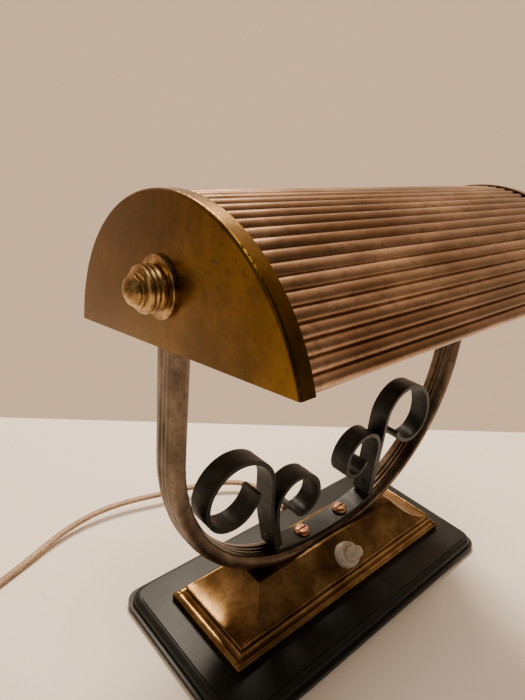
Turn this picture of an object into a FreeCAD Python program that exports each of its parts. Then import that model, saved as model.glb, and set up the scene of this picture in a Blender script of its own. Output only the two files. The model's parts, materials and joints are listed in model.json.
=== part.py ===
"""Banker's desk lamp: wooden base, hipped brass plinth, U-shaped reeded arm with wrought
scrolls, and a corrugated half-round shade that tilts on two studs and is locked by two knobs.

Frame: millimetres, +X along the lamp, -Y to the front, +Z up. The origin is on the table,
under the middle of the lamp. Each sub-part is one object of the document, and its Label is
the name of its file.
"""
import FreeCAD, Part
import math
import os

import Sketcher
from FreeCAD import Placement, Rotation, Vector

X_AXIS = Vector(1, 0, 0)
Y_AXIS = Vector(0, 1, 0)
Z_AXIS = Vector(0, 0, 1)

DIMENSIONS = {
    # wooden base
    "base_length": 211.6,
    "base_width": 101.6,
    "base_ledge": 1.9,
    "base_step_top": 3.6,
    "base_top": 9.3,
    "base_quirk": 0.7,
    "base_corner": 9.0,
    "base_x": 1.2,
    "base_y": 0.0,
    "felt_thickness": 0.6,
    "felt_inset": 3.0,
    "ballast_length": 150.0,
    "ballast_width": 60.0,
    "ballast_thickness": 3.6,
    # brass plinth
    "plinth_length": 174.2,
    "plinth_width": 57.4,
    "rim_width": 6.2,
    "rim_rise": 5.3,
    "slope_bottom": 19.6,
    "roof_top": 32.5,
    "slope_angle": 40.0,
    "roof_half_length": 57.5,
    # arm
    "arm_y": 3.5,
    "arm_width": 15.8,
    "arm_thickness": 8.9,
    "arm_bottom": 30.0,
    "low_radius": 148.0,
    "low_turn": 13.0,
    "bend_radius": 94.0,
    "lead_radius": 1.3,
    # scrolls
    "strip_width": 12.0,
    "strip_thickness": 2.4,
    # shade
    "pivot_height": 198.5,
    "shade_tilt": 8.66,
    "cap_face": 112.56,
    "cap_thickness": 1.2,
    "cap_edge_radius": 1.1,
    "flange_width": 6.3,
    "flange_radius": 70.2,
    "flange_thickness": 0.7,
    "shade_centre_drop": 37.1,
    "chord_drop": 22.8,
    "rib_depth": 1.5,
    "rib_count": 37,
    "sheet_thickness": 0.9,
    # studs, washers and knobs
    "stud_radius": 3.0,
    "washer_radius": 11.5,
    "washer_thickness": 1.7,
    "knob_radius": 8.6,
    "knob_length": 6.4,
    "knob_tip_radius": 5.5,
    # lampholder and bulb
    "shell_radius": 13.0,
    "shell_length": 28.0,
    "bulb_radius": 12.5,
    "bulb_length": 92.0,
    # switch
    "switch_x": 3.4,
    "collar_radius": 7.4,
    "collar_height": 4.6,
    "button_radius": 3.4,
    "button_reach": 14.4,
    # cord
    "cord_diameter": 4.0,
    "coil_radius": 30.5,
    "coil_hole": 19.0,
    "coil_height": 15.0,
}

doc = FreeCAD.newDocument("banker_lamp")
sheet = doc.addObject("Spreadsheet::Sheet", "Dims")
for row, (alias, value) in enumerate(DIMENSIONS.items(), start=1):
    sheet.set(f"A{row}", alias)
    sheet.set(f"B{row}", str(value))
    sheet.setAlias(f"B{row}", alias)
doc.recompute()

SUB_PARTS = []


def dim(alias):
    """A driving dimension, read from the sheet."""
    return float(sheet.get(alias))


def keep(obj, label):
    """Make an object a sub-part under its own label."""
    obj.Label = label
    SUB_PARTS.append(obj)
    return obj


def bind(obj, **expressions):
    """Bind an object's properties to expressions on the sheet."""
    for prop, expression in expressions.items():
        obj.setExpression(prop, expression)
    return obj


def move_to(obj, x="0", y="0", z="0"):
    """Bind the base point of an object's placement."""
    for axis, expression in (("x", x), ("y", y), ("z", z)):
        obj.setExpression(f"Placement.Base.{axis}", expression)
    return obj


def box(name, length, width, height, x, y, z):
    """A Part box whose sizes and corner are expressions."""
    obj = bind(doc.addObject("Part::Box", name), Length=length, Width=width, Height=height)
    return move_to(obj, x, y, z)


def cylinder(name, radius, height, placement):
    """A Part cylinder with bound sizes; its placement gives the foot and the direction."""
    obj = bind(doc.addObject("Part::Cylinder", name), Radius=radius, Height=height)
    obj.Placement = placement
    return obj


def along(direction, point):
    """The placement that turns +Z to a direction and moves the origin to a point."""
    return Placement(point, Rotation(Z_AXIS, direction))


def cut(name, base, tool):
    obj = doc.addObject("Part::Cut", name)
    obj.Base = base
    obj.Tool = tool
    return obj


def fuse(name, shapes):
    obj = doc.addObject("Part::MultiFuse", name)
    obj.Shapes = shapes
    return obj


def solid(name, shape):
    """A Part::Feature around a shape made with Part's own functions."""
    obj = doc.addObject("Part::Feature", name)
    obj.Shape = shape
    return obj


def origin_plane(body, role):
    return next(o for o in body.Origin.OriginFeatures if o.Role == role)


def outline_sketch(body, name, plane, points):
    """A closed, fully constrained sketch; each coordinate is an expression on the sheet."""
    sketch = body.newObject("Sketcher::SketchObject", name)
    sketch.AttachmentSupport = (origin_plane(body, plane), [""])
    sketch.MapMode = "FlatFace"
    values = [(float(sheet.evalExpression(x)), float(sheet.evalExpression(y))) for x, y in points]
    count = len(points)
    for i in range(count):
        start, end = values[i], values[(i + 1) % count]
        sketch.addGeometry(Part.LineSegment(Vector(*start, 0), Vector(*end, 0)), False)
    for i in range(count):
        sketch.addConstraint(Sketcher.Constraint("Coincident", i, 2, (i + 1) % count, 1))
    for i, (x, y) in enumerate(points):
        across = ("DistanceX", x, values[i][0], -2)
        upward = ("DistanceY", y, values[i][1], -1)
        for kind, expression, value, axis in (across, upward):
            if value == 0:
                sketch.addConstraint(Sketcher.Constraint("PointOnObject", i, 1, axis))
            else:
                index = sketch.addConstraint(Sketcher.Constraint(kind, -1, 1, i, 1, value))
                sketch.setExpression(f"Constraints[{index}]", expression)
    return sketch


def turned(label, points, placement):
    """A turned piece: (radius, height) expressions revolved about its own axis."""
    body = doc.addObject("PartDesign::Body", label + "_body")
    sketch = outline_sketch(body, label + "_profile", "XZ_Plane", points)
    revolution = body.newObject("PartDesign::Revolution", label + "_turn")
    revolution.Profile = sketch
    revolution.ReferenceAxis = (sketch, ["V_Axis"])
    revolution.Angle = 360
    body.Tip = revolution
    body.Placement = placement
    return body


def padded(label, points, length, placement):
    """A flat piece: an outline in expressions, padded along its own +Z."""
    body = doc.addObject("PartDesign::Body", label + "_body")
    sketch = outline_sketch(body, label + "_profile", "XY_Plane", points)
    pad = body.newObject("PartDesign::Pad", label + "_pad")
    pad.Profile = sketch
    pad.setExpression("Length", length)
    body.Tip = pad
    body.Placement = placement
    return body


def fillet_edges(name, base, radius, chosen):
    """Round the edges of base that the test picks."""
    doc.recompute()
    obj = doc.addObject("Part::Fillet", name)
    obj.Base = base
    obj.Edges = [(i, radius, radius) for i, edge in enumerate(base.Shape.Edges, start=1) if chosen(edge)]
    return obj


# ---------------------------------------------------------------- bent paths

class Walk:
    """A bent path in the XZ plane: straights (length, None) and arcs (turn in degrees, radius).

    A positive turn is to the left of the heading. Offsets are also to the left.
    """

    def __init__(self, start, heading, runs):
        self.spans = []
        x, z = start
        heading = math.radians(heading)
        for amount, radius in runs:
            first = (x, z, heading)
            if radius is None:
                x += amount * math.cos(heading)
                z += amount * math.sin(heading)
                self.spans.append((first, None, (x, z, heading)))
                continue
            turn = math.radians(amount)
            middle = self._round(first, turn / 2, radius)
            last = self._round(first, turn, radius)
            self.spans.append((first, middle, last))
            x, z, heading = last

    @staticmethod
    def _round(station, turn, radius):
        x, z, heading = station
        side = math.copysign(radius, turn)
        centre_x = x - side * math.sin(heading)
        centre_z = z + side * math.cos(heading)
        heading += turn
        return centre_x + side * math.sin(heading), centre_z - side * math.cos(heading), heading

    def end(self):
        x, z, heading = self.spans[-1][2]
        return (x, z), math.degrees(heading)

    def edges(self, y=0.0, offset=0.0):
        """The edges of the path, moved to its left by the offset, in the plane at y."""
        def point(station):
            x, z, heading = station
            return Vector(x - offset * math.sin(heading), y, z + offset * math.cos(heading))
        made = []
        for first, middle, last in self.spans:
            if middle is None:
                made.append(Part.LineSegment(point(first), point(last)).toShape())
            else:
                made.append(Part.Arc(point(first), point(middle), point(last)).toShape())
        return made


def ends(edge):
    return edge.valueAt(edge.FirstParameter), edge.valueAt(edge.LastParameter)


def strip(walk, thickness, width, y):
    """A flat bar bent along a walk, centred on y."""
    left = walk.edges(y - width / 2, thickness / 2)
    right = walk.edges(y - width / 2, -thickness / 2)
    caps = [Part.LineSegment(ends(left[0])[0], ends(right[0])[0]).toShape(),
            Part.LineSegment(ends(left[-1])[1], ends(right[-1])[1]).toShape()]
    outline = Part.Wire(Part.__sortEdges__(left + caps + right))
    return Part.Face(outline).extrude(Vector(0, width, 0))


def mirrored(shape):
    """The other hand of a shape, across the lamp's middle plane."""
    return shape.mirror(Vector(0, 0, 0), X_AXIS)


# ---------------------------------------------------------------- base

def felt_pad():
    length = "(Dims.base_length / 2 - Dims.felt_inset)"
    width = "(Dims.base_width / 2 - Dims.felt_inset)"
    corners = [(f"-{length}", f"-{width}"), (length, f"-{width}"), (length, width), (f"-{length}", width)]
    place = Placement(centre_of_base(), Rotation())
    keep(padded("felt_pad", corners, "Dims.felt_thickness", place), "felt_pad")


def centre_of_base(z=0.0):
    return Vector(dim("base_x"), dim("base_y"), z)


def base_slab(name, inset, low, high):
    """One layer of the base, inset all round from its foot, with round corners."""
    slab = box(name, f"Dims.base_length - 2 * {inset}", f"Dims.base_width - 2 * {inset}", f"{high} - {low}",
               f"Dims.base_x - Dims.base_length / 2 + {inset}",
               f"Dims.base_y - Dims.base_width / 2 + {inset}", low)
    upright = lambda edge: abs(edge.tangentAt(edge.FirstParameter).z) > 0.99
    return fillet_edges(name + "_corners", slab, dim("base_corner"), upright)


def base_block():
    """A moulded board: a square step, a round shoulder and a fine quirk round the flat top."""
    shoulder_top = "(Dims.base_top - Dims.base_quirk)"
    foot = base_slab("base_foot", "0", "Dims.felt_thickness", "Dims.base_step_top")
    middle = base_slab("base_middle", "Dims.base_ledge", "Dims.felt_thickness", shoulder_top)
    top = dim("base_top") - dim("base_quirk")
    on_top = lambda edge: all(abs(v.Point.z - top) < 0.01 for v in edge.Vertexes)
    shoulder = fillet_edges("base_shoulder", middle, top - dim("base_step_top") - 1.0, on_top)
    crown = base_slab("base_crown", "(Dims.base_ledge * 3)", "Dims.felt_thickness", "Dims.base_top")
    cavity = box("base_cavity", "Dims.ballast_length + 2", "Dims.ballast_width + 2", "6",
                 "Dims.base_x - Dims.ballast_length / 2 - 1", "Dims.base_y - Dims.ballast_width / 2 - 1",
                 "Dims.felt_thickness")
    lead_way = box("base_lead_way", "12", "30", "10", "Dims.base_x - 6", "Dims.base_y - 10", "5")
    exit_hole = cylinder("base_exit", "Dims.cord_diameter / 2 + 0.6", "40",
                         along(Y_AXIS, CORD_EXIT - Y_AXIS * 30))
    exit_seat = cylinder("base_exit_seat", "Dims.cord_diameter / 2 + 1.6", "6",
                         along(Y_AXIS, CORD_EXIT - Y_AXIS * 2.6))
    screw_holes = [cylinder("ballast_screw_hole", "1.5", "9", along(Z_AXIS, centre_of_base() + X_AXIS * side))
                   for side in (-BALLAST_SCREW_X, BALLAST_SCREW_X)]
    solid_board = fuse("base_board", [foot, shoulder, crown])
    voids = fuse("base_voids", [cavity, lead_way, exit_hole, exit_seat] + screw_holes)
    keep(cut("base_hollowed", solid_board, voids), "base_block")


def ballast_plate():
    """The steel plate under the board that keeps the lamp from tipping, held by two screws."""
    plate = box("ballast_blank", "Dims.ballast_length", "Dims.ballast_width", "Dims.ballast_thickness",
                "Dims.base_x - Dims.ballast_length / 2", "Dims.base_y - Dims.ballast_width / 2",
                "Dims.felt_thickness + 0.4")
    holes = []
    for side in (-1, 1):
        spot = centre_of_base() + X_AXIS * side * BALLAST_SCREW_X
        holes.append(cylinder("ballast_hole", "1.6", "10", along(Z_AXIS, spot)))
    keep(cut("ballast_cut", plate, fuse("ballast_holes", holes)), "ballast_plate")
    for side, word in ((-1, "left"), (1, "right")):
        spot = centre_of_base(dim("felt_thickness") + 0.05) + X_AXIS * side * BALLAST_SCREW_X
        head = [("0", "0"), ("2.6", "0"), ("2.6", "0.35"), ("1.5", "0.35"), ("1.5", "7.8"), ("0", "7.8")]
        keep(turned(f"ballast_screw_{word}", head, along(Z_AXIS, spot)), f"ballast_screw_{word}")


# ---------------------------------------------------------------- plinth

def moulding(half, roof_points):
    """One side of the plinth's outline, from its foot over the bead and groove to its roof."""
    foot = dim("base_top")
    bead_top = foot + dim("rim_rise")
    edge_top = dim("slope_bottom")
    bead = Part.Arc(Vector(-half, 0, foot + 2.4), Vector(-half + 0.9, 0, bead_top - 0.5),
                    Vector(-half + 2.8, 0, bead_top))
    cove = Part.Arc(Vector(-half + 3.2, 0, bead_top - 0.7), Vector(-half + 4.6, 0, bead_top + 1.0),
                    Vector(-half + 5.0, 0, edge_top - 0.9))
    crisp = Part.Arc(Vector(-half + 5.0, 0, edge_top - 0.9), Vector(-half + 5.6, 0, edge_top + 0.15),
                     Vector(-half + dim("rim_width"), 0, edge_top - 0.35))
    made = [Part.LineSegment(Vector(-half, 0, foot), bead.StartPoint).toShape(), bead.toShape(),
            Part.LineSegment(bead.EndPoint, cove.StartPoint).toShape(), cove.toShape(), crisp.toShape()]
    start = Vector(-half + dim("rim_width"), 0, edge_top - 0.35)
    roof = [Vector(x, 0, z) for x, z in roof_points]
    if len(roof) == 1:
        made.append(Part.LineSegment(start, roof[0]).toShape())
    else:
        made.append(Part.Arc(start, *roof).toShape())
    return made


def hip_prism(left, right, length):
    """The prism of an outline given by its two sides, centred on the XZ plane."""
    right = [edge.mirror(Vector(0, 0, 0), X_AXIS) for edge in right]
    top = Part.LineSegment(ends(left[-1])[1], ends(right[-1])[1]).toShape()
    foot = Part.LineSegment(ends(left[0])[0], ends(right[0])[0]).toShape()
    outline = Part.Wire(Part.__sortEdges__(left + [top] + right + [foot]))
    prism = Part.Face(outline).extrude(Vector(0, length, 0))
    prism.translate(Vector(0, -length / 2, 0))
    return prism


def plinth_roof():
    """Two mouldings crossed at right angles, which meet in mitres and in curved hips."""
    half_length, half_width = dim("plinth_length") / 2, dim("plinth_width") / 2
    roof_top, foot_z = dim("roof_top"), dim("slope_bottom") - 0.35
    run = (roof_top - foot_z) / math.tan(math.radians(dim("slope_angle")))
    front_ridge = -half_width + dim("rim_width") + run
    rear_ridge = 2 * (dim("arm_y") - dim("base_y")) - front_ridge
    hip_end = (-dim("roof_half_length"), roof_top)
    hip_middle = (-half_length + dim("rim_width") + 14.0, foot_z + 4.6)
    end_side = moulding(half_length, [hip_middle, hip_end])
    across = hip_prism(moulding(half_width, [(front_ridge, roof_top)]),
                       moulding(half_width, [(-rear_ridge, roof_top)]), 2 * half_length)
    across.rotate(Vector(0, 0, 0), Z_AXIS, 90)
    lengthways = hip_prism(end_side, end_side, 2 * half_width)
    roof = lengthways.common(across)
    roof.translate(Vector(dim("base_x"), dim("base_y"), 0))
    return roof


def brass_plinth():
    """A cast plinth: hollow below, with a channel for the arm and a seat for the switch."""
    lower = box("plinth_lower_hollow", "142", "36", "8.2", "Dims.base_x - 71", "Dims.base_y - 18",
                "Dims.base_top")
    upper = box("plinth_upper_hollow", "96", "22", "5.5", "Dims.base_x - 48", "Dims.arm_y - 11", "16.6")
    channel = solid("arm_channel", arm_body(0.12))
    seat = cylinder("switch_seat", "5.8", "16", along(-SWITCH_AXIS, SWITCH_POINT - SWITCH_AXIS * 2.0))
    bush = cylinder("switch_hole", "4.5", "10", along(-SWITCH_AXIS, SWITCH_POINT + SWITCH_AXIS * 2.0))
    lead = cylinder("plinth_lead_hole", "1.7", "20", along(Z_AXIS, Vector(LEAD_X, dim("arm_y") + LEAD_Y, 12)))
    screws = [cylinder("plinth_screw_hole", "2.1", "20", along(Z_AXIS, Vector(x, dim("arm_y"), 12)))
              for x in ARM_SCREWS_X]
    voids = fuse("plinth_voids", [lower, upper, channel, seat, bush, lead] + screws)
    keep(cut("plinth_cut", solid("plinth_blank", plinth_roof()), voids), "brass_plinth")


# ---------------------------------------------------------------- arm and scrolls

def half_arm():
    """The arm's centreline from the middle of its foot up to the right-hand pivot."""
    foot = Walk((0, dim("arm_bottom")), 0, [(dim("low_turn"), dim("low_radius")),
                                            (90 - dim("low_turn"), dim("bend_radius"))])
    (_, top), _ = foot.end()
    return Walk((0, dim("arm_bottom")), 0, [(dim("low_turn"), dim("low_radius")),
                                            (90 - dim("low_turn"), dim("bend_radius")),
                                            (dim("pivot_height") - top, None)])


def reeded_section(extra=0.0):
    """Round shoulders with three beads on each face, in the YZ plane at the foot's middle."""
    half_width, half_depth = dim("arm_width") / 2 + extra, dim("arm_thickness") / 2 + extra
    shoulder = half_width / 2
    groove = half_depth - 0.5
    bead = 2 * shoulder / 3
    centre = Vector(0, dim("arm_y"), dim("arm_bottom"))
    edges = []
    for side in (-1, 1):
        edges.append(Part.Arc(centre + Vector(0, side * shoulder, -groove), centre + Vector(0, side * half_width, 0),
                              centre + Vector(0, side * shoulder, groove)).toShape())
        for i in range(3):
            low = -shoulder + i * bead
            edges.append(Part.Arc(centre + Vector(0, low, side * groove),
                                  centre + Vector(0, low + bead / 2, side * half_depth),
                                  centre + Vector(0, low + bead, side * groove)).toShape())
    return Part.Wire(Part.__sortEdges__(edges))


def arm_body(extra=0.0):
    """The whole U, swept from the middle up one side and mirrored to the other."""
    path = Part.Wire(half_arm().edges(dim("arm_y")))
    right = path.makePipeShell([reeded_section(extra)], True, True)
    return right.fuse(mirrored(right)).removeSplitter()


def lead_path():
    """The wire's way inside the right-hand leg, behind its centreline."""
    walk = half_arm()
    x, z, heading = walk.spans[-1][2]
    walk.spans[-1] = (walk.spans[-1][0], None, (x, z - 12, heading))
    return walk


def lead_tube(radius):
    """A round tube along the wire's way, up from the plinth and in towards the lampholder."""
    y = dim("arm_y") + LEAD_Y
    edges = lead_path().edges(y)
    start, _ = ends(edges[0])
    ring = Part.Wire(Part.Circle(start, X_AXIS, radius).toShape())
    run = Part.Wire(edges).makePipeShell([ring], True, True)
    riser = Part.makeCylinder(radius, 16.0, start - Z_AXIS * 16.0, Z_AXIS)
    elbow = Part.makeSphere(radius, start)
    _, top = ends(edges[-1])
    inward = Part.makeCylinder(radius, top.x - HOLDER_FACE, top, -X_AXIS)
    corner = Part.makeSphere(radius, top)
    return run.multiFuse([riser, elbow, inward, corner])


def reeded_arm():
    leg_x = half_arm().end()[0][0]
    depth = dim("arm_thickness")
    heads = [cylinder("arm_head", "Dims.arm_width / 2", "Dims.arm_thickness - 1",
                      along(X_AXIS, Vector(side * leg_x - (depth - 1) / 2, dim("arm_y"), dim("pivot_height"))))
             for side in (-1, 1)]
    blank = fuse("arm_blank", [solid("arm_sweep", arm_body())] + heads)
    holes = [cylinder("arm_screw_hole", "2.1", "20", along(Z_AXIS, Vector(x, dim("arm_y"), 22)))
             for x in ARM_SCREWS_X]
    holes += [cylinder("arm_stud_hole", "Dims.stud_radius", "20",
                       along(X_AXIS, Vector(side * leg_x - 10, dim("arm_y"), dim("pivot_height"))))
              for side in (-1, 1)]
    holes.append(solid("arm_bore", lead_tube(dim("lead_radius") + 0.3)))
    keep(cut("arm_drilled", blank, fuse("arm_holes", holes)), "reeded_arm")


def internal_lead():
    keep(solid("lead_in_arm", lead_tube(dim("lead_radius"))), "internal_lead")


def band_walk(stem):
    """Half of the long scroll strip: over the arm's foot, then up the stem and round the curl."""
    rise = (dim("arm_thickness") + dim("strip_thickness")) / 2
    return Walk((0, dim("arm_bottom") + rise), 0,
                [(dim("low_turn"), dim("low_radius") - rise), (FOOT_TURN, dim("bend_radius") - rise)] + stem)


def scroll_band():
    """The long wrought strip: one bar with a large scroll at each end."""
    thickness, width, y = dim("strip_thickness"), dim("strip_width"), dim("arm_y")
    right = strip(band_walk(RIGHT_STEM + RIGHT_CURL), thickness, width, y)
    left = mirrored(strip(band_walk(LEFT_STEM + LEFT_CURL), thickness, width, y))
    blank = solid("band_blank", right.fuse(left).removeSplitter())
    holes = [cylinder("band_screw_hole", "2.1", "14", along(Z_AXIS, Vector(x, y, 30))) for x in ARM_SCREWS_X]
    holes += [cylinder("band_rivet_hole", "1.2", "12", along(direction, spot - direction * 6))
              for spot, direction in rivets()]
    keep(cut("band_drilled", blank, fuse("band_holes", holes)), "scroll_band")


def small_start(stem):
    """Where a small scroll starts: flat against the inner side of the large scroll's stem."""
    (x, z), heading = band_walk(stem[:1]).end()
    side = math.radians(heading)
    gap = dim("strip_thickness")
    return (x - gap * math.sin(side), z + gap * math.cos(side)), heading


def rivets():
    """The middle and direction of the rivet that joins each small scroll to its stem."""
    spots = []
    for hand, stem in ((-1, LEFT_STEM), (1, RIGHT_STEM)):
        (x, z), heading = small_start(stem)
        turn = math.radians(heading)
        x += 6.0 * math.cos(turn) + 1.2 * math.sin(turn)
        z += 6.0 * math.sin(turn) - 1.2 * math.cos(turn)
        spots.append((Vector(hand * x, dim("arm_y"), z), Vector(hand * math.sin(turn), 0, -math.cos(turn))))
    return spots


def small_scrolls():
    """The two short scrolls, each riveted to a stem, and their rivets."""
    thickness, width, y = dim("strip_thickness"), dim("strip_width"), dim("arm_y")
    hands = (("left", -1, LEFT_STEM, LEFT_SMALL_CURL), ("right", 1, RIGHT_STEM, RIGHT_SMALL_CURL))
    for (word, hand, stem, curl), (spot, direction) in zip(hands, rivets()):
        start, heading = small_start(stem)
        bar = strip(Walk(start, heading, curl), thickness, width, y)
        bar = bar if hand > 0 else mirrored(bar)
        hole = cylinder(f"small_hole_{word}", "1.2", "12", along(direction, spot - direction * 6))
        keep(cut(f"small_cut_{word}", solid(f"small_blank_{word}", bar), hole), f"scroll_small_{word}")
        half = "Dims.strip_thickness"
        profile = [("0", f"-{half} - 1"), ("1.5", f"-{half} - 1"), ("2.2", f"-{half}"), ("1.2", f"-{half}"),
                   ("1.2", half), ("2.2", half), ("1.5", f"{half} + 1"), ("0", f"{half} + 1")]
        keep(turned(f"scroll_rivet_{word}", profile, along(direction, spot)), f"scroll_rivet_{word}")


def arm_screws():
    """Two slotted screws clamp the strip and the arm to the plinth, each with its nut inside."""
    for x, word in zip(ARM_SCREWS_X, ("left", "right")):
        tilt = math.asin(x / dim("low_radius"))
        rise = dim("arm_thickness") / 2 + dim("strip_thickness")
        seat = dim("arm_bottom") + dim("low_radius") * (1 - math.cos(tilt)) + rise * math.cos(tilt) + 0.8
        spot = Vector(x, dim("arm_y"), seat)
        profile = [("0", "2.2"), ("3.2", "2"), ("4.4", "1.2"), ("4.6", "0"), ("2", "0"), ("2", "-22"),
                   ("0", "-22")]
        blank = turned(f"arm_screw_blank_{word}", profile, along(Z_AXIS, spot))
        slot = box(f"screw_slot_{word}", "10", "1.1", "2", f"{x} - 5", "Dims.arm_y - 0.55", f"{seat} + 1")
        keep(cut(f"arm_screw_cut_{word}", blank, slot), f"arm_screw_{word}")
        nut = doc.addObject("Part::Prism", f"nut_blank_{word}")
        nut.Polygon = 6
        nut.Circumradius = 4.2
        nut.Height = 3
        nut.Placement = along(Z_AXIS, Vector(x, dim("arm_y"), 19.1))
        bore = cylinder(f"nut_bore_{word}", "2", "6", along(Z_AXIS, Vector(x, dim("arm_y"), 17)))
        keep(cut(f"nut_cut_{word}", nut, bore), f"arm_nut_{word}")


# ---------------------------------------------------------------- shade

def shade_placement():
    """The shade's own frame: its origin on the pivot, tilted so that its front edge is up."""
    return Placement(PIVOT, Rotation(X_AXIS, -dim("shade_tilt")))


def shade_ring(radius):
    """The end angles of a ring round the shade's axis, down to the shade's lower edge."""
    low = math.asin((dim("shade_centre_drop") - dim("chord_drop")) / radius)
    return low, math.pi - low


def on_ring(radius, angle):
    return Vector(0, radius * math.cos(angle), radius * math.sin(angle) - dim("shade_centre_drop"))


def ribbed_arc(crest):
    """Half-round ribs side by side along the shade's arc."""
    groove = crest - dim("rib_depth")
    start, stop = shade_ring(groove)
    count = int(dim("rib_count"))
    pitch = (stop - start) / count
    edges = []
    for i in range(count):
        low = start + i * pitch
        edges.append(Part.Arc(on_ring(groove, low), on_ring(crest, low + pitch / 2),
                              on_ring(groove, low + pitch)).toShape())
    return edges


def ribbed_shade():
    """The corrugated sheet between the end caps."""
    crest = dim("flange_radius") - dim("flange_thickness")
    outer = ribbed_arc(crest)
    inner = ribbed_arc(crest - dim("sheet_thickness"))
    hems = [Part.LineSegment(ends(outer[0])[0], ends(inner[0])[0]).toShape(),
            Part.LineSegment(ends(outer[-1])[1], ends(inner[-1])[1]).toShape()]
    outline = solid("shade_outline", Part.Face(Part.Wire(Part.__sortEdges__(outer + hems + inner))))
    sheet_metal = doc.addObject("Part::Extrusion", "shade_sheet")
    sheet_metal.Base = outline
    sheet_metal.DirMode = "Custom"
    sheet_metal.Dir = X_AXIS
    sheet_metal.Solid = True
    sheet_metal.Symmetric = True
    sheet_metal.setExpression("LengthFwd", "2 * (Dims.cap_face - Dims.cap_thickness)")
    sheet_metal.Placement = shade_placement()
    keep(sheet_metal, "ribbed_shade")


def ring_segment(outer, inner, x_low, x_high):
    """A piece of a ring, or a full segment when it has no inner radius, extruded along X."""
    start, stop = shade_ring(outer)
    arc = Part.Arc(on_ring(outer, start), on_ring(outer, math.pi / 2), on_ring(outer, stop)).toShape()
    if inner is None:
        edges = [arc, Part.LineSegment(on_ring(outer, start), on_ring(outer, stop)).toShape()]
    else:
        low, high = shade_ring(inner)
        back = Part.Arc(on_ring(inner, low), on_ring(inner, math.pi / 2), on_ring(inner, high)).toShape()
        edges = [arc, Part.LineSegment(on_ring(outer, stop), on_ring(inner, high)).toShape(), back,
                 Part.LineSegment(on_ring(inner, low), on_ring(outer, start)).toShape()]
    face = Part.Face(Part.Wire(Part.__sortEdges__(edges)))
    face.translate(Vector(x_low, 0, 0))
    return face.extrude(Vector(x_high - x_low, 0, 0))


def end_caps():
    """A flat plate over each end of the shade, with a flange lapped over the ribs."""
    radius, face = dim("flange_radius"), dim("cap_face")
    inner_face = face - dim("cap_thickness")
    plate = ring_segment(radius, None, inner_face, face)
    flange = ring_segment(radius, radius - dim("flange_thickness"), face - dim("flange_width"), inner_face)
    hole = Part.makeCylinder(dim("stud_radius") + 0.3, 10, Vector(face - 5, 0, 0), X_AXIS)
    blank = plate.fuse(flange).removeSplitter()
    cap = blank.makeFillet(dim("cap_edge_radius"), face_rim(blank, face, radius)).cut(hole)
    for word, shape in (("left", mirrored(cap)), ("right", cap)):
        obj = solid(f"cap_{word}", shape)
        obj.Placement = shade_placement()
        keep(obj, f"end_cap_{word}")


def face_rim(shape, face, radius):
    """The curved edges of a shape at x = face."""
    flat = [edge for edge in shape.Edges if max(abs(v.X - face) for v in edge.Vertexes) < 0.01]
    return [edge for edge in flat if abs(getattr(edge.Curve, "Radius", 0) - radius) < 0.01]


def cap_washers():
    profile = [("Dims.stud_radius + 0.3", "0"), ("Dims.washer_radius", "0"),
               ("Dims.washer_radius", "Dims.washer_thickness - 0.3"),
               ("Dims.washer_radius - 0.3", "Dims.washer_thickness"),
               ("Dims.stud_radius + 0.3", "Dims.washer_thickness")]
    for word, side in (("left", -1), ("right", 1)):
        spot = PIVOT + X_AXIS * side * dim("cap_face")
        keep(turned(f"cap_washer_{word}", profile, along(X_AXIS * side, spot)), f"cap_washer_{word}")


# ---------------------------------------------------------------- pivots and knobs

def pivot_studs():
    """A headed stud through each leg: the shade turns on it and the knob screws on its end."""
    inner = half_arm().end()[0][0] - dim("arm_thickness") / 2
    for word, side in (("left", -1), ("right", 1)):
        spot = PIVOT + X_AXIS * side * (inner - HOLDER_PLATE * (side > 0))
        reach = dim("cap_face") + dim("knob_length") - inner + HOLDER_PLATE * (side > 0)
        profile = [("0", "-2"), ("5", "-2"), ("5", "0"), ("Dims.stud_radius", "0"),
                   ("Dims.stud_radius", f"{reach}"), ("0", f"{reach}")]
        keep(turned(f"pivot_stud_{word}", profile, along(X_AXIS * side, spot)), f"pivot_stud_{word}")


def friction_washers():
    """A thin washer on the outside of each leg keeps the cap off the arm."""
    outer = half_arm().end()[0][0] + dim("arm_thickness") / 2
    profile = [("Dims.stud_radius", "0"), ("7", "0"), ("7", "0.4"), ("Dims.stud_radius", "0.4")]
    for word, side in (("left", -1), ("right", 1)):
        spot = PIVOT + X_AXIS * side * outer
        keep(turned(f"friction_washer_{word}", profile, along(X_AXIS * side, spot)), f"friction_washer_{word}")


def knob_profile():
    """The knob in section: a barrel with turned rings, a step ring and a domed tip."""
    points = [("Dims.stud_radius + 0.05", "0"), ("Dims.knob_radius - 0.5", "0")]
    rings = 3
    groove = "Dims.knob_radius - 0.35"
    for i in range(rings):
        low = f"Dims.knob_length * {0.1 + 0.3 * i:.2f}"
        middle = f"Dims.knob_length * {0.1 + 0.3 * i + 0.12:.2f}"
        high = f"Dims.knob_length * {0.1 + 0.3 * i + 0.24:.2f}"
        points += [(groove, low), ("Dims.knob_radius", middle), (groove, high)]
    tip = "Dims.knob_tip_radius"
    points += [("Dims.knob_radius - 0.9", "Dims.knob_length"), (f"{tip} + 0.9", "Dims.knob_length + 0.3"),
               (f"{tip} + 0.9", "Dims.knob_length + 1.4"), (tip, "Dims.knob_length + 1.6"),
               (tip, "Dims.knob_length + 2.4"), (f"{tip} * 0.85", "Dims.knob_length + 3.6"),
               (f"{tip} * 0.55", "Dims.knob_length + 4.6"), (f"{tip} * 0.25", "Dims.knob_length + 5.2"),
               ("0", "Dims.knob_length + 5.4"), ("0", "Dims.knob_length - 0.2"),
               ("Dims.stud_radius + 0.05", "Dims.knob_length - 0.2")]
    return points


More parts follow.
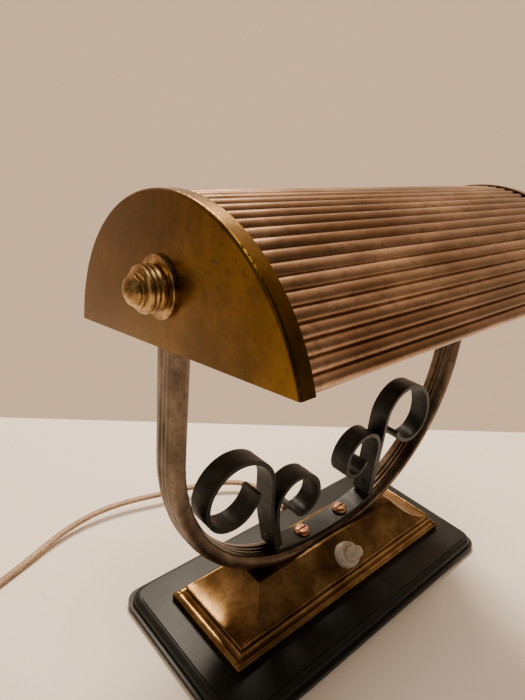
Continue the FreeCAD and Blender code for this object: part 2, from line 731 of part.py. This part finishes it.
def knobs():
    for word, side in (("left", -1), ("right", 1)):
        spot = PIVOT + X_AXIS * side * (dim("cap_face") + dim("washer_thickness") + 0.3)
        keep(turned(f"knob_{word}", knob_profile(), along(X_AXIS * side, spot)), f"knob_{word}")


# ---------------------------------------------------------------- lampholder and bulb

def lampholder():
    """A bracket on the right-hand leg carries the holder, level with the pivots."""
    plate = box("bracket_blank", f"{HOLDER_PLATE}", "20", "26", f"{HOLDER_FACE}", "Dims.arm_y - 10",
                "Dims.pivot_height - 15")
    hole = cylinder("bracket_hole", "Dims.stud_radius", "6",
                    along(X_AXIS, PIVOT + X_AXIS * (HOLDER_FACE - 2)))
    lead_spot = Vector(HOLDER_FACE - 2, dim("arm_y") + LEAD_Y, dim("pivot_height") - 12)
    lead_hole = cylinder("bracket_lead_hole", "1.6", "6", along(X_AXIS, lead_spot))
    keep(cut("bracket_cut", plate, fuse("bracket_holes", [hole, lead_hole])), "lampholder_bracket")
    foot = PIVOT + X_AXIS * HOLDER_FACE
    shell = [("Dims.shell_radius - 4", "2.2"), ("Dims.shell_radius - 4", "0"), ("Dims.shell_radius - 2", "0"),
             ("Dims.shell_radius", "2"), ("Dims.shell_radius", "Dims.shell_length"),
             ("Dims.shell_radius - 2", "Dims.shell_length"), ("Dims.shell_radius - 2", "2.2")]
    keep(turned("lampholder_shell", shell, along(-X_AXIS, foot)), "lampholder_shell")
    core = [("0", "2.4"), ("Dims.shell_radius - 2", "2.4"), ("Dims.shell_radius - 2", "20"), ("7.2", "20"),
            ("7.2", "8"), ("0", "8")]
    keep(turned("lampholder_core", core, along(-X_AXIS, foot)), "lampholder_core")


def bulb():
    """A tubular bulb: metal cap, glass tube with a round end, and its filament stem."""
    foot = PIVOT + X_AXIS * HOLDER_FACE
    cap = [("0", "8.2"), ("3", "8.2"), ("6.8", "11"), ("6.8", "30"), ("0", "30")]
    keep(turned("bulb_cap", cap, along(-X_AXIS, foot)), "bulb_cap")
    glass_start = foot - X_AXIS * 30
    radius, length = "Dims.bulb_radius", "Dims.bulb_length"
    glass = [("6.4", "0"), (f"{radius} - 3", "2"), (f"{radius}", "6"), (radius, f"{length} - 9"),
             (f"{radius} - 2", f"{length} - 4"), (f"{radius} - 6", f"{length} - 1"), ("0", length),
             ("0", f"{length} - 1"), (f"{radius} - 6.6", f"{length} - 2"), (f"{radius} - 2.8", f"{length} - 5"),
             (f"{radius} - 0.9", f"{length} - 9.4"), (f"{radius} - 0.9", "6.4"), (f"{radius} - 3.6", "2.8"),
             ("5.4", "0.8"), ("5.4", "0")]
    keep(turned("bulb_glass", glass, along(-X_AXIS, glass_start)), "bulb_glass")
    stem = [("0", "0"), ("4", "0"), ("2", "12"), ("0.8", "14"), ("0.8", f"{length} - 14"),
            ("0", f"{length} - 14")]
    keep(turned("bulb_filament", stem, along(-X_AXIS, glass_start)), "bulb_filament")


# ---------------------------------------------------------------- switch

def switch():
    """A push switch square to the plinth's front slope: collar, body behind it, and button."""
    outwards = along(SWITCH_AXIS, SWITCH_POINT)
    bore, collar, height = "(Dims.button_radius + 0.05)", "Dims.collar_radius", "Dims.collar_height"
    profile = [(bore, "0.05"), (f"{collar} - 0.2", "0.05"), (collar, "0.6"), (collar, f"{height} - 1.2"),
               (f"{collar} - 0.6", f"{height} - 0.6"), (f"{collar} - 0.6", f"{height} + 0.9"),
               (f"{collar} - 1.1", f"{height} + 1.4"), (f"{collar} - 2", f"{height} + 1.4"),
               (f"{collar} - 2.6", f"{height} + 0.7"), (bore, f"{height} + 0.7")]
    keep(turned("switch_collar", profile, outwards), "switch_collar")
    body = [(bore, "0"), ("4.5", "0"), ("4.5", "-2"), ("5.6", "-2"), ("5.6", "-13"), ("0", "-13"), ("0", "-12"),
            (bore, "-12")]
    keep(turned("switch_body", body, outwards), "switch_body")
    radius, reach = "Dims.button_radius", "Dims.button_reach"
    button = [("0", "-7"), (radius, "-7"), (radius, f"{reach} - 2.4"), (f"{radius} * 0.9", f"{reach} - 1.1"),
              (f"{radius} * 0.6", f"{reach} - 0.3"), ("0", reach)]
    keep(turned("push_button", button, outwards), "push_button")


# ---------------------------------------------------------------- cord

def rounded_route(points):
    """Straight runs joined by tangent arcs, each as large as its two runs allow."""
    edges, start, radii = [], points[0], []
    for before, point, after in zip(points, points[1:], points[2:]):
        back, ahead = before - point, after - point
        turn = math.pi - back.getAngle(ahead)
        reach = 0.45 * min(back.Length, ahead.Length)
        radii.append(reach / math.tan(turn / 2))
        enter = point + back.normalize() * reach
        leave = point + ahead.normalize() * reach
        inward = (back + ahead).normalize()
        depth = radii[-1] * (1 / math.cos(turn / 2) - 1)
        edges.append(Part.LineSegment(start, enter).toShape())
        edges.append(Part.Arc(enter, point + inward * depth, leave).toShape())
        start = leave
    edges.append(Part.LineSegment(start, points[-1]).toShape())
    return Part.Wire(edges), radii


def cord_run():
    """The flexible cord's tube from the base to its coil."""
    route, radii = rounded_route([CORD_EXIT] + [Vector(*point) for point in CORD_ROUTE])
    first = route.Edges[0]
    start, _ = ends(first)
    heading = first.tangentAt(first.FirstParameter)
    ring = Part.Wire(Part.Circle(start, heading, dim("cord_diameter") / 2).toShape())
    tube = route.makePipeShell([ring], True, True)
    expected = math.pi * dim("cord_diameter") ** 2 / 4 * route.Length
    print("cord bend radii", [round(radius, 1) for radius in radii])
    print("cord tube length", round(route.Length, 1), "volume ratio", round(tube.Volume / expected, 4))
    keep(solid("cord_tube", tube), "cord_run")


def cord_coil():
    """The outer shape of the spare cord's coil, with its tie."""
    profile = [("Dims.coil_hole", "0"), ("Dims.coil_radius", "0"), ("Dims.coil_radius", "Dims.coil_height"),
               ("Dims.coil_hole", "Dims.coil_height")]
    keep(turned("cord_coil", profile, Placement(COIL_CENTRE, Rotation())), "cord_coil")
    width = dim("coil_radius") - dim("coil_hole")
    middle = COIL_CENTRE - X_AXIS * (dim("coil_hole") + width / 2)
    outer = Part.makeBox(width + 2.4, 8, dim("coil_height") + 1.2,
                         middle + Vector(-width / 2 - 1.2, -4, 0))
    inner = Part.makeBox(width + 0.8, 10, dim("coil_height") + 1.4,
                         middle + Vector(-width / 2 - 0.4, -5, -1))
    keep(solid("tie_band", outer.cut(inner)), "coil_tie")


def plug():
    """A flat two-pin plug laid on the table by the coil."""
    outline = [("-17", "0"), ("17", "0"), ("17", "9"), ("8", "24"), ("4.5", "34"), ("-4.5", "34"), ("-8", "24"),
               ("-17", "9")]
    body = padded("plug_blank", outline, "13", Placement(PLUG_FACE, Rotation(Z_AXIS, PLUG_TURN)))
    keep(body, "plug_body")
    turn = Rotation(Z_AXIS, PLUG_TURN)
    for word, side in (("left", -1), ("right", 1)):
        spot = PLUG_FACE + turn.multVec(Vector(side * 9.5, 0, 6.5))
        pin = [("0", "0"), ("2", "0"), ("2", "18.4"), ("1.4", "19"), ("0", "19")]
        keep(turned(f"plug_pin_{word}", pin, along(turn.multVec(-Y_AXIS), spot)), f"plug_pin_{word}")


def cord_grommet():
    """The bush where the cord leaves the back of the base."""
    bore = "Dims.cord_diameter / 2"
    profile = [(bore, "-8"), (f"{bore} + 0.6", "-8"), (f"{bore} + 0.6", "-0.6"), (f"{bore} + 1.6", "-0.6"),
               (f"{bore} + 1.2", "1.6"), (bore, "2")]
    keep(turned("cord_grommet", profile, along(Y_AXIS, CORD_EXIT - Y_AXIS * 2)), "cord_grommet")


def terminal_block():
    """The two-way connector in the plinth's hollow."""
    keep(box("terminal_blank", "16", "12", "7", "Dims.base_x + 26", "Dims.arm_y - 6", "Dims.base_top + 0.2"),
         "terminal_block")


# ---------------------------------------------------------------- places worked out once

PIVOT = Vector(0, dim("arm_y"), dim("pivot_height"))
ARM_SCREWS_X = (-15.0, 18.0)
BALLAST_SCREW_X = 62.0
LEAD_X, LEAD_Y = 0.0, 4.4
HOLDER_PLATE = 1.5
HOLDER_FACE = half_arm().end()[0][0] - dim("arm_thickness") / 2 - HOLDER_PLATE

slope = math.radians(dim("slope_angle"))
SWITCH_AXIS = Vector(0, -math.sin(slope), math.cos(slope))
slope_foot_y = dim("base_y") - dim("plinth_width") / 2 + dim("rim_width")
switch_rise = 5.6
SWITCH_POINT = Vector(dim("switch_x"), slope_foot_y + (switch_rise - 0.35) / math.tan(slope),
                      dim("slope_bottom") - 0.35 + switch_rise - 0.35)

# Scroll strips, as turns seen from the right-hand side: stem first, then the curl.
FOOT_TURN = 4.0
LEFT_STEM = [(58.0, 4.0), (16.5, None), (14.0, 118.0)]
LEFT_CURL = [(-90.0, 22.0), (-90.0, 18.5), (-90.0, 16.5), (-85.0, 14.5)]
RIGHT_STEM = [(71.0, 4.0), (51.0, None)]
RIGHT_CURL = [(-88.0, 18.5), (-90.0, 27.5), (-90.0, 13.5), (-60.0, 21.0)]
LEFT_SMALL_CURL = [(12.0, None), (16.0, 56.0), (89.0, 14.0), (90.0, 17.0), (90.0, 9.5), (80.0, 8.0)]
RIGHT_SMALL_CURL = [(32.0, None), (92.0, 14.0), (90.0, 15.0), (90.0, 10.5), (80.0, 8.0)]

CORD_EXIT = Vector(21.0, dim("base_y") + dim("base_width") / 2 + 0.6, 5.4)
CORD_ROUTE = [(22.2, 70.2, 5.8), (14, 87.7, 6.6), (-3, 98.7, 7.2), (-23, 105.2, 7.2), (-44, 110.8, 7.0),
              (-66, 117.2, 6.8), (-86, 119.6, 6.2), (-104.4, 117.8, 5.0), (-121.4, 113.2, 3.6),
              (-137, 106.8, 2.6), (-152, 100.8, 2.3), (-166.2, 97.4, 2.2)]
COIL_CENTRE = Vector(-196.0, 88.0, 0)
PLUG_FACE = Vector(-196.0, 23.5, 0)
PLUG_TURN = 0.0

felt_pad()
base_block()
ballast_plate()
brass_plinth()
reeded_arm()
internal_lead()
scroll_band()
small_scrolls()
arm_screws()
terminal_block()
switch()
pivot_studs()
friction_washers()
lampholder()
bulb()
ribbed_shade()
end_caps()
cap_washers()
knobs()
cord_grommet()
cord_run()
cord_coil()
plug()
doc.recompute()

for obj in doc.Objects:
    if "Invalid" in obj.State or "Error" in obj.State:
        raise RuntimeError(f"{obj.Label} failed: {obj.State}")
for obj in SUB_PARTS:
    if obj.Shape.isNull() or not obj.Shape.isValid():
        raise RuntimeError(f"{obj.Label} has no valid shape")

os.makedirs("parts", exist_ok=True)
for obj in SUB_PARTS:
    obj.Shape.exportStep(f"parts/{obj.Label}.step")
print(len(SUB_PARTS), "sub-parts")
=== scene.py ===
"""The desk lamp's looks: camera, cord, a procedural material for every slot, light and floor."""

import json
import math

import bpy
from mathutils import Matrix, Vector


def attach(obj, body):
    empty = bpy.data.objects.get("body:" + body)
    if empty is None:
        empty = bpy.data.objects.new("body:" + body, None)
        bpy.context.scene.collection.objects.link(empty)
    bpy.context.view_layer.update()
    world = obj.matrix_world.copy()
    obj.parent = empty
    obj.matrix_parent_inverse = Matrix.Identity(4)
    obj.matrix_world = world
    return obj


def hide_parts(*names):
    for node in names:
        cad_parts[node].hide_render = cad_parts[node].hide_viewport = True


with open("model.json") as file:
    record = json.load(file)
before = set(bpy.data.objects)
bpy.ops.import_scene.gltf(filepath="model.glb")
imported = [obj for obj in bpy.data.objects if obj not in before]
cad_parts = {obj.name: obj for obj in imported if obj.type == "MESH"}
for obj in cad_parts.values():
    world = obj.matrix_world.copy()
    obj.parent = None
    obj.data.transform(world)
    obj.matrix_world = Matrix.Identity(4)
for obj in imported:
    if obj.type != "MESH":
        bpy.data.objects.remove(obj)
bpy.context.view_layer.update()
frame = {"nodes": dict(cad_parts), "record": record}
NODES = frame["nodes"]
SLOT_OF = {part["node"]: part["material_slot"] for part in frame["record"]["subparts"]}
MM = 0.001

# The camera: its place in mm, its heading from +Y towards +X, how far it looks down and leans.
CAMERA_PLACE = (-208.757, -152.185, 255.486)
CAMERA_YAW = math.radians(43.587)
CAMERA_PITCH = math.radians(23.27)
CAMERA_ROLL = math.radians(5.636)
CAMERA_VIEW_ANGLE = math.radians(66.18)
CAMERA_NEAREST = 0.01

# The cord and its route, in mm. The route follows the CAD tube's points, with one added at the exit and
# the last three placed so that the cord bends smoothly onto the coil.
CORD_WIDTH = 4.0
CORD_THICKNESS = 2.9
LOBE_HALF_TURN = 70
LOBE_STEPS = 10
WAIST_FILL = 1.05
CORD_EXIT = (21.0, 51.4, 5.4)
CORD_ROUTE = [(21.0, 57.5, 5.4), (22.2, 70.2, 5.8), (14, 87.7, 6.6), (-3, 98.7, 7.2), (-23, 105.2, 7.2),
              (-44, 110.8, 7.0), (-66, 117.2, 6.8), (-86, 119.6, 6.2), (-104.4, 117.8, 5.0),
              (-121.4, 113.2, 3.6), (-137, 106.8, 2.6), (-152, 101.5, 2.3), (-163.5, 96.5, 2.2),
              (-168.0, 86.0, 2.2)]

# The put-away coil: each turn's (column, layer), from the outside at the bottom to the last turn.
COIL_CENTRE = (-196.0, 88.0)
COIL_RADII = (28.4, 24.4, 20.4)
COIL_LAYER = 3.7
COIL_FLOOR = CORD_THICKNESS / 2 + 0.1
COIL_WINDING = [(0, 0), (1, 0), (2, 0), (2, 1), (2, 2), (2, 3), (1, 3), (1, 2), (1, 1), (0, 1)]
COIL_STEPS = 16
COIL_EASE_FROM = 0.75
COIL_START = math.radians(-20)
COIL_TO_PLUG = [(-173.0, 70.5, 5.8), (-181.0, 61.5, 6.2), (-193.5, 57.0, 6.6), (-196.0, 48.0, 6.8)]

# The room: lights as (name, place, size, power, colour), the wall's direction and its light, the floor.
LAMP_MIDDLE = (0, 0, 0.1)
LIGHTS = [
    ("Key", (0.35, 0.55, 1.15), 0.35, 26.0, (1.0, 0.85, 0.68)),
    ("Ceiling", (-0.1, -0.1, 1.6), 0.5, 9.0, (1.0, 0.88, 0.76)),
    ("Window", (-1.2, -0.15, 0.75), 0.6, 1.3, (1.0, 0.88, 0.74)),
]
WALL_DIRECTION = (0.60, 0.80, 0.0)
ROOM_SHADES = [(0.0, (0.06, 0.048, 0.036)), (0.45, (0.16, 0.125, 0.09)), (0.72, (0.86, 0.575, 0.36)),
               (1.0, (0.88, 0.59, 0.375))]
TABLE_FAR_EDGE = [(-350, 467), (296, -3), (1200, -660)]
TABLE_NEAR_EDGE = [(1200, -1500), (-1300, -1500), (-1300, 1160)]


def add_object(name, data):
    """A new object in the scene."""
    made = bpy.data.objects.new(name, data)
    bpy.context.scene.collection.objects.link(made)
    return made


# ---------------------------------------------------------------- camera

def place_camera():
    forward = Vector((math.sin(CAMERA_YAW) * math.cos(CAMERA_PITCH),
                      math.cos(CAMERA_YAW) * math.cos(CAMERA_PITCH),
                      -math.sin(CAMERA_PITCH)))
    level_right = Vector((math.cos(CAMERA_YAW), -math.sin(CAMERA_YAW), 0))
    level_up = level_right.cross(forward)
    right = math.cos(CAMERA_ROLL) * level_right + math.sin(CAMERA_ROLL) * level_up
    up = right.cross(forward)
    data = bpy.data.cameras.new("Camera")
    data.sensor_fit = "VERTICAL"
    data.angle = CAMERA_VIEW_ANGLE
    data.clip_start = CAMERA_NEAREST
    camera = add_object("Camera", data)
    turn = Matrix((right, up, -forward)).transposed()
    camera.matrix_world = Matrix.Translation(Vector(CAMERA_PLACE) * MM) @ turn.to_4x4()
    bpy.context.scene.camera = camera


# ---------------------------------------------------------------- node helpers

def set_stops(ramp, stops):
    """Gives a colour ramp its stops; every stop is (position, colour or grey)."""
    while len(ramp.elements) < len(stops):
        ramp.elements.new(0.5)
    for element, (position, colour) in zip(ramp.elements, stops):
        element.position = position
        element.color = (colour, colour, colour, 1) if isinstance(colour, float) else (*colour, 1)


class Paint:
    """A principled material that is built from a few procedural layers."""

    MIX_SHARE, MIX_LOW, MIX_HIGH, MIX_RESULT = 0, 6, 7, 2

    def __init__(self, name, **sockets):
        self.material = bpy.data.materials.new(name)
        self.material.use_nodes = True
        self.tree = self.material.node_tree
        self.shader = self.tree.nodes["Principled BSDF"]
        self.place = self.add("ShaderNodeTexCoord").outputs["Object"]
        for socket, value in sockets.items():
            self.shader.inputs[socket.replace("_", " ")].default_value = value

    def add(self, kind):
        return self.tree.nodes.new(kind)

    def link(self, source, target):
        self.tree.links.new(source, target)

    def spread(self, source, **ends):
        """Maps a value from one range to another; ends are the Map Range node's sockets."""
        node = self.add("ShaderNodeMapRange")
        for socket, value in ends.items():
            node.inputs[socket.replace("_", " ")].default_value = value
        self.link(source, node.inputs["Value"])
        return node.outputs["Result"]

    def noise(self, size_mm, detail=4.0, rough=0.55, stretch=(1, 1, 1)):
        """Noise with features about size_mm across; a stretch below 1 draws it out along that axis."""
        mapping = self.add("ShaderNodeMapping")
        mapping.inputs["Scale"].default_value = stretch
        self.link(self.place, mapping.inputs["Vector"])
        node = self.add("ShaderNodeTexNoise")
        node.inputs["Scale"].default_value = 1 / (size_mm * MM)
        node.inputs["Detail"].default_value = detail
        node.inputs["Roughness"].default_value = rough
        self.link(mapping.outputs["Vector"], node.inputs["Vector"])
        return node.outputs["Fac"]

    def cells(self, size_mm):
        """The distance from the middle of the nearest of many small cells."""
        node = self.add("ShaderNodeTexVoronoi")
        node.inputs["Scale"].default_value = 1 / (size_mm * MM)
        self.link(self.place, node.inputs["Vector"])
        return node.outputs["Distance"]

    def along(self, axis, low_mm, high_mm):
        """0 at low_mm and 1 at high_mm along an axis."""
        node = self.add("ShaderNodeSeparateXYZ")
        self.link(self.place, node.inputs["Vector"])
        return self.spread(node.outputs[axis], From_Min=low_mm * MM, From_Max=high_mm * MM)

    def ramp(self, source, *stops):
        """A colour ramp over a value."""
        node = self.add("ShaderNodeValToRGB")
        set_stops(node.color_ramp, stops)
        self.link(source, node.inputs["Fac"])
        return node.outputs["Color"]

    def mix(self, low, high, share):
        """Goes from the colour of a socket to a fixed colour as share goes from 0 to 1."""
        node = self.add("ShaderNodeMix")
        node.data_type = "RGBA"
        self.link(share, node.inputs[self.MIX_SHARE])
        self.link(low, node.inputs[self.MIX_LOW])
        node.inputs[self.MIX_HIGH].default_value = (*high, 1)
        return node.outputs[self.MIX_RESULT]

    def colour(self, source):
        self.link(source, self.shader.inputs["Base Color"])

    def roughness(self, source, low, high):
        self.link(self.spread(source, To_Min=low, To_Max=high), self.shader.inputs["Roughness"])

    def bump(self, *layers):
        """Stacks bump layers; every layer is (height socket, height in mm)."""
        normal = None
        for source, height_mm in layers:
            node = self.add("ShaderNodeBump")
            node.inputs["Distance"].default_value = height_mm * MM
            self.link(source, node.inputs["Height"])
            if normal is not None:
                self.link(normal, node.inputs["Normal"])
            normal = node.outputs["Normal"]
        self.link(normal, self.shader.inputs["Normal"])


def mottled(paint, size_mm, detail, dark, light):
    """A soft change between two colours."""
    paint.colour(paint.ramp(paint.noise(size_mm, detail), (0.3, dark), (0.7, light)))


# ---------------------------------------------------------------- brass

def patinated_brass(name, shades, cloud_mm, shine, stretch=(1, 1, 1), painted_rear_reflection=None):
    """Old brass: clouds of patina, fine tarnish, a faint unevenness and a patchy shine.

    shades are dark, middle and bright; shine is the least and most roughness. The last argument, if given,
    is a painted reflection:
    a colour that takes over towards the lamp's back.
    """
    paint = Paint(name, Metallic=1.0)
    dark, middle, bright = shades
    clouds = paint.noise(cloud_mm, 6, 0.6, stretch)
    patina = paint.ramp(clouds, (0.36, dark), (0.5, middle), (0.66, bright))
    spots = paint.ramp(paint.noise(3.5, 5, 0.7), (0.30, 0.55), (0.50, 0.0))
    tarnish_and_painted_reflection = paint.mix(patina, tuple(0.55 * share for share in dark), spots)
    # Painted reflection: a lighter colour mixed in over the tarnish towards the lamp's back.
    if painted_rear_reflection:
        tarnish_and_painted_reflection = paint.mix(tarnish_and_painted_reflection, painted_rear_reflection, paint.ramp(paint.along("Y", -20, 70), (0.0, 0.0), (1.0, 0.6)))
    paint.colour(tarnish_and_painted_reflection)
    paint.roughness(clouds, *shine)
    paint.bump((paint.noise(1.1, 5, 0.65), 0.02), (paint.noise(9, 3), 0.10))
    return paint.material


def shade_brass():
    shades = ((0.20, 0.112, 0.058), (0.30, 0.18, 0.105), (0.50, 0.32, 0.205))
    return patinated_brass("shade_brass", shades, 18, (0.24, 0.40), stretch=(0.3, 1, 1))


def cap_brass():
    # Painted shade: the same brass as the shade, its colours made far darker for the flat end face; the rear
    # colour is a painted reflection.
    shades = ((0.075, 0.036, 0.004), (0.115, 0.056, 0.006), (0.16, 0.083, 0.011))
    return patinated_brass("cap_brass", shades, 34, (0.24, 0.34), painted_rear_reflection=(0.19, 0.115, 0.055))


def knob_brass():
    shades = ((0.16, 0.095, 0.035), (0.33, 0.20, 0.08), (0.56, 0.38, 0.17))
    return patinated_brass("knob_brass", shades, 5, (0.24, 0.42))


def plinth_brass():
    shades = ((0.11, 0.062, 0.024), (0.24, 0.14, 0.055), (0.42, 0.26, 0.11))
    return patinated_brass("plinth_brass", shades, 24, (0.24, 0.42))


def arm_brass():
    shades = ((0.070, 0.050, 0.034), (0.13, 0.095, 0.068), (0.22, 0.165, 0.12))
    return patinated_brass("arm_brass", shades, 14, (0.30, 0.46), stretch=(1, 1, 0.5))


# ---------------------------------------------------------------- other metals

def black_iron():
    """Hammered, blackened strip."""
    paint = Paint("black_iron", Metallic=0.55)
    paint.colour(paint.ramp(paint.noise(7, 5), (0.35, (0.012, 0.014, 0.014)), (0.65, (0.030, 0.033, 0.032))))
    paint.roughness(paint.noise(4), 0.34, 0.58)
    paint.bump((paint.noise(1.6), 0.05), (paint.noise(7, 2), 0.15))
    return paint.material


def bare_metal(name, clouds, dark, light, shine, grain=None):
    """Plain metal.

    clouds is (size in mm, detail), shine is (size, detail, least roughness, most roughness) and
    grain is (size, detail, height in mm).
    """
    paint = Paint(name, Metallic=1.0)
    mottled(paint, *clouds, dark, light)
    paint.roughness(paint.noise(*shine[:2]), *shine[2:])
    if grain:
        paint.bump((paint.noise(*grain[:2]), grain[2]))
    return paint.material


def steel():
    return bare_metal("steel", (5, 4), (0.30, 0.29, 0.28), (0.50, 0.49, 0.47),
                      shine=(3, 4, 0.25, 0.42), grain=(1.0, 3, 0.01))


def copper():
    return bare_metal("copper", (3, 5), (0.22, 0.10, 0.055), (0.62, 0.33, 0.20),
                      shine=(2, 4, 0.28, 0.5), grain=(0.8, 4, 0.03))


def tungsten():
    return bare_metal("tungsten", (1, 3), (0.20, 0.19, 0.18), (0.34, 0.33, 0.32),
                      shine=(1, 3, 0.35, 0.5))


# ---------------------------------------------------------------- wood, felt, mouldings, glass, cord

def ebonised_wood():
    """Black wood with a fine grain along the lamp and a little dust."""
    paint = Paint("ebonised_wood", Specular_IOR_Level=0.22)
    grain = paint.noise(5, 6, 0.6, (0.08, 1, 1))
    clouds = paint.noise(30, 3)
    tone = paint.ramp(grain, (0.3, (0.007, 0.0085, 0.008)), (0.7, (0.014, 0.016, 0.015)))
    dust = paint.ramp(clouds, (0.45, 0.0), (0.75, 0.35))
    paint.colour(paint.mix(tone, (0.030, 0.032, 0.030), dust))
    paint.roughness(clouds, 0.34, 0.50)
    paint.bump((grain, 0.05), (paint.noise(1.2, 3), 0.015))
    return paint.material


def felt():
    paint = Paint("felt", Roughness=0.95, Sheen_Weight=0.4)
    mottled(paint, 1.5, 5, (0.02, 0.035, 0.025), (0.045, 0.07, 0.05))
    paint.bump((paint.noise(0.6), 0.12))
    return paint.material


def moulded(name, dark, light, shine, **sockets):
    """A moulded plastic or glazed clay with a faint mottle."""
    paint = Paint(name, **sockets)
    mottled(paint, 8, 4, dark, light)
    paint.roughness(paint.noise(3, 3), *shine)
    paint.bump((paint.noise(1.5, 3), 0.012))
    return paint.material


def cream_plastic():
    return moulded("cream_plastic", (0.66, 0.60, 0.50), (0.80, 0.76, 0.68), (0.28, 0.40),
                   Subsurface_Weight=0.08)


def porcelain():
    return moulded("porcelain", (0.72, 0.70, 0.66), (0.84, 0.82, 0.79), (0.16, 0.28))


def brown_plastic():
    return moulded("brown_plastic", (0.035, 0.017, 0.010), (0.075, 0.035, 0.020), (0.22, 0.38))


def clear_glass():
    paint = Paint("clear_glass", Transmission_Weight=1.0, IOR=1.45, Base_Color=(0.96, 0.97, 0.96, 1))
    paint.roughness(paint.noise(12, 3), 0.02, 0.07)
    return paint.material


def gold_cord():
    """A woven cover: fine cells with painted shade in the sunken gaps between them, over soft colour
    changes.
    """
    paint = Paint("gold_cord", Sheen_Weight=0.25, Sheen_Roughness=0.5, Roughness=0.62)
    tone = paint.ramp(paint.noise(14), (0.3, (0.40, 0.24, 0.13)), (0.7, (0.60, 0.42, 0.27)))
    weave = paint.cells(0.8)
    gap_shade = paint.ramp(weave, (0.35, 0.0), (0.75, 1.0))
    # Painted shade: the sunken gaps of the weave are darkened.
    paint.colour(paint.mix(tone, (0.20, 0.11, 0.06), gap_shade))
    paint.bump((weave, -0.12))
    return paint.material


def floor_paint():
    paint = Paint("floor", Roughness=0.75, Base_Color=(0.88, 0.80, 0.71, 1))
    paint.bump((paint.noise(60, 2), 0.5))
    return paint.material


MATERIALS = {make.__name__: make for make in (
    felt, ebonised_wood, steel, plinth_brass, arm_brass, black_iron, copper, cap_brass, shade_brass,
    knob_brass, cream_plastic, porcelain, clear_glass, tungsten, gold_cord, brown_plastic)}


def paint_nodes():
    """Gives every CAD node its slot's material, and returns the materials by slot."""
    painted = {slot: make() for slot, make in MATERIALS.items()}
    for name, node in NODES.items():
        node.data.materials.clear()
        node.data.materials.append(painted[SLOT_OF[name]])
    return painted


# ---------------------------------------------------------------- cord

def coil_seat(turn):
    """(radius, height) of a turn; after the last turn it stays in the last seat."""
    column, layer = COIL_WINDING[min(turn, len(COIL_WINDING) - 1)]
    return COIL_RADII[column], COIL_FLOOR + layer * COIL_LAYER


def coil_points():
    """The put-away turns, one after another; each eases into the next at its end."""
    points = []
    for step in range(len(COIL_WINDING) * COIL_STEPS + 1):
        turn, place = divmod(step, COIL_STEPS)
        share = place / COIL_STEPS
        ease = max(0.0, (share - COIL_EASE_FROM) / (1 - COIL_EASE_FROM))
        here, after = coil_seat(turn), coil_seat(turn + 1)
        radius = here[0] + (after[0] - here[0]) * ease
        height = here[1] + (after[1] - here[1]) * ease
        angle = COIL_START - 2 * math.pi * share
        points.append((COIL_CENTRE[0] + radius * math.cos(angle),
                       COIL_CENTRE[1] + radius * math.sin(angle), height))
    return points


def cord_profile():
    """The twin cord's section: two lobes side by side with a waist between them."""
    lobe_middle = CORD_WIDTH / 4
    lobe_height = CORD_THICKNESS / 2
    waist = math.sqrt(lobe_height ** 2 - lobe_middle ** 2) * WAIST_FILL
    points = []
    for side in (1, -1):
        for step in range(LOBE_STEPS):
            angle = math.radians(LOBE_HALF_TURN * (2 * step / (LOBE_STEPS - 1) - 1))
            points.append((side * lobe_middle * (1 + math.cos(angle)), side * lobe_height * math.sin(angle)))
        points.append((0.0, side * waist))
    return points


def cord_section():
    """The section as a flat closed curve, which isn't shown."""
    data = bpy.data.curves.new("CordSection", "CURVE")
    data.dimensions = "2D"
    outline = data.splines.new("POLY")
    corners = cord_profile()
    outline.points.add(len(corners) - 1)
    for point, (x, y) in zip(outline.points, corners):
        point.co = (x * MM, y * MM, 0, 1)
    outline.use_cyclic_u = True
    section = add_object("CordSection", data)
    section.hide_render = True
    return section


def lay_cord(material):
    """The whole cord as one smooth line: out of the base, over the table, round the coil, into the plug."""
    route = [CORD_EXIT] + CORD_ROUTE + coil_points() + COIL_TO_PLUG
    curve = bpy.data.curves.new("TwinCord", "CURVE")
    curve.dimensions = "3D"
    curve.twist_mode = "Z_UP"
    curve.resolution_u = 6
    curve.bevel_mode = "OBJECT"
    curve.bevel_object = cord_section()
    curve.use_fill_caps = True
    curve.materials.append(material)
    spline = curve.splines.new("NURBS")
    spline.points.add(len(route) - 1)
    for point, place in zip(spline.points, route):
        point.co = (*(Vector(place) * MM), 1)
    spline.order_u = 3
    spline.use_endpoint_u = True
    cord = add_object("TwinCord", curve)
    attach(cord, "stand")
    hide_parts("cord_run", "cord_coil")


# ---------------------------------------------------------------- light and floor

def light_lamp():
    for name, place, size, power, colour in LIGHTS:
        data = bpy.data.lights.new(name, "AREA")
        data.size = size
        data.energy = power
        data.color = colour
        light = add_object(name, data)
        light.location = place
        aim = Vector(LAMP_MIDDLE) - Vector(place)
        light.rotation_euler = aim.to_track_quat("-Z", "Y").to_euler()


def fill_room():
    """The light of the room: a warm wall behind the lamp, and a dim room in front of it."""
    world = bpy.data.worlds.new("Room")
    bpy.context.scene.world = world
    world.use_nodes = True
    tree = world.node_tree
    direction = tree.nodes.new("ShaderNodeTexCoord")
    towards_wall = tree.nodes.new("ShaderNodeVectorMath")
    towards_wall.operation = "DOT_PRODUCT"
    towards_wall.inputs[1].default_value = WALL_DIRECTION
    spread = tree.nodes.new("ShaderNodeMapRange")
    spread.inputs["From Min"].default_value = -1.0
    shades = tree.nodes.new("ShaderNodeValToRGB")
    set_stops(shades.color_ramp, ROOM_SHADES)
    tree.links.new(direction.outputs["Generated"], towards_wall.inputs[0])
    tree.links.new(towards_wall.outputs["Value"], spread.inputs["Value"])
    tree.links.new(spread.outputs["Result"], shades.inputs["Fac"])
    tree.links.new(shades.outputs["Color"], tree.nodes["Background"].inputs["Color"])


def lay_floor():
    corners = [(x * MM, y * MM, 0) for x, y in TABLE_FAR_EDGE + TABLE_NEAR_EDGE]
    mesh = bpy.data.meshes.new("Floor")
    mesh.from_pydata(corners, [], [list(range(len(corners)))])
    mesh.materials.append(floor_paint())
    add_object("Floor", mesh)


place_camera()
painted = paint_nodes()
lay_cord(painted["gold_cord"])
light_lamp()
fill_room()
lay_floor()
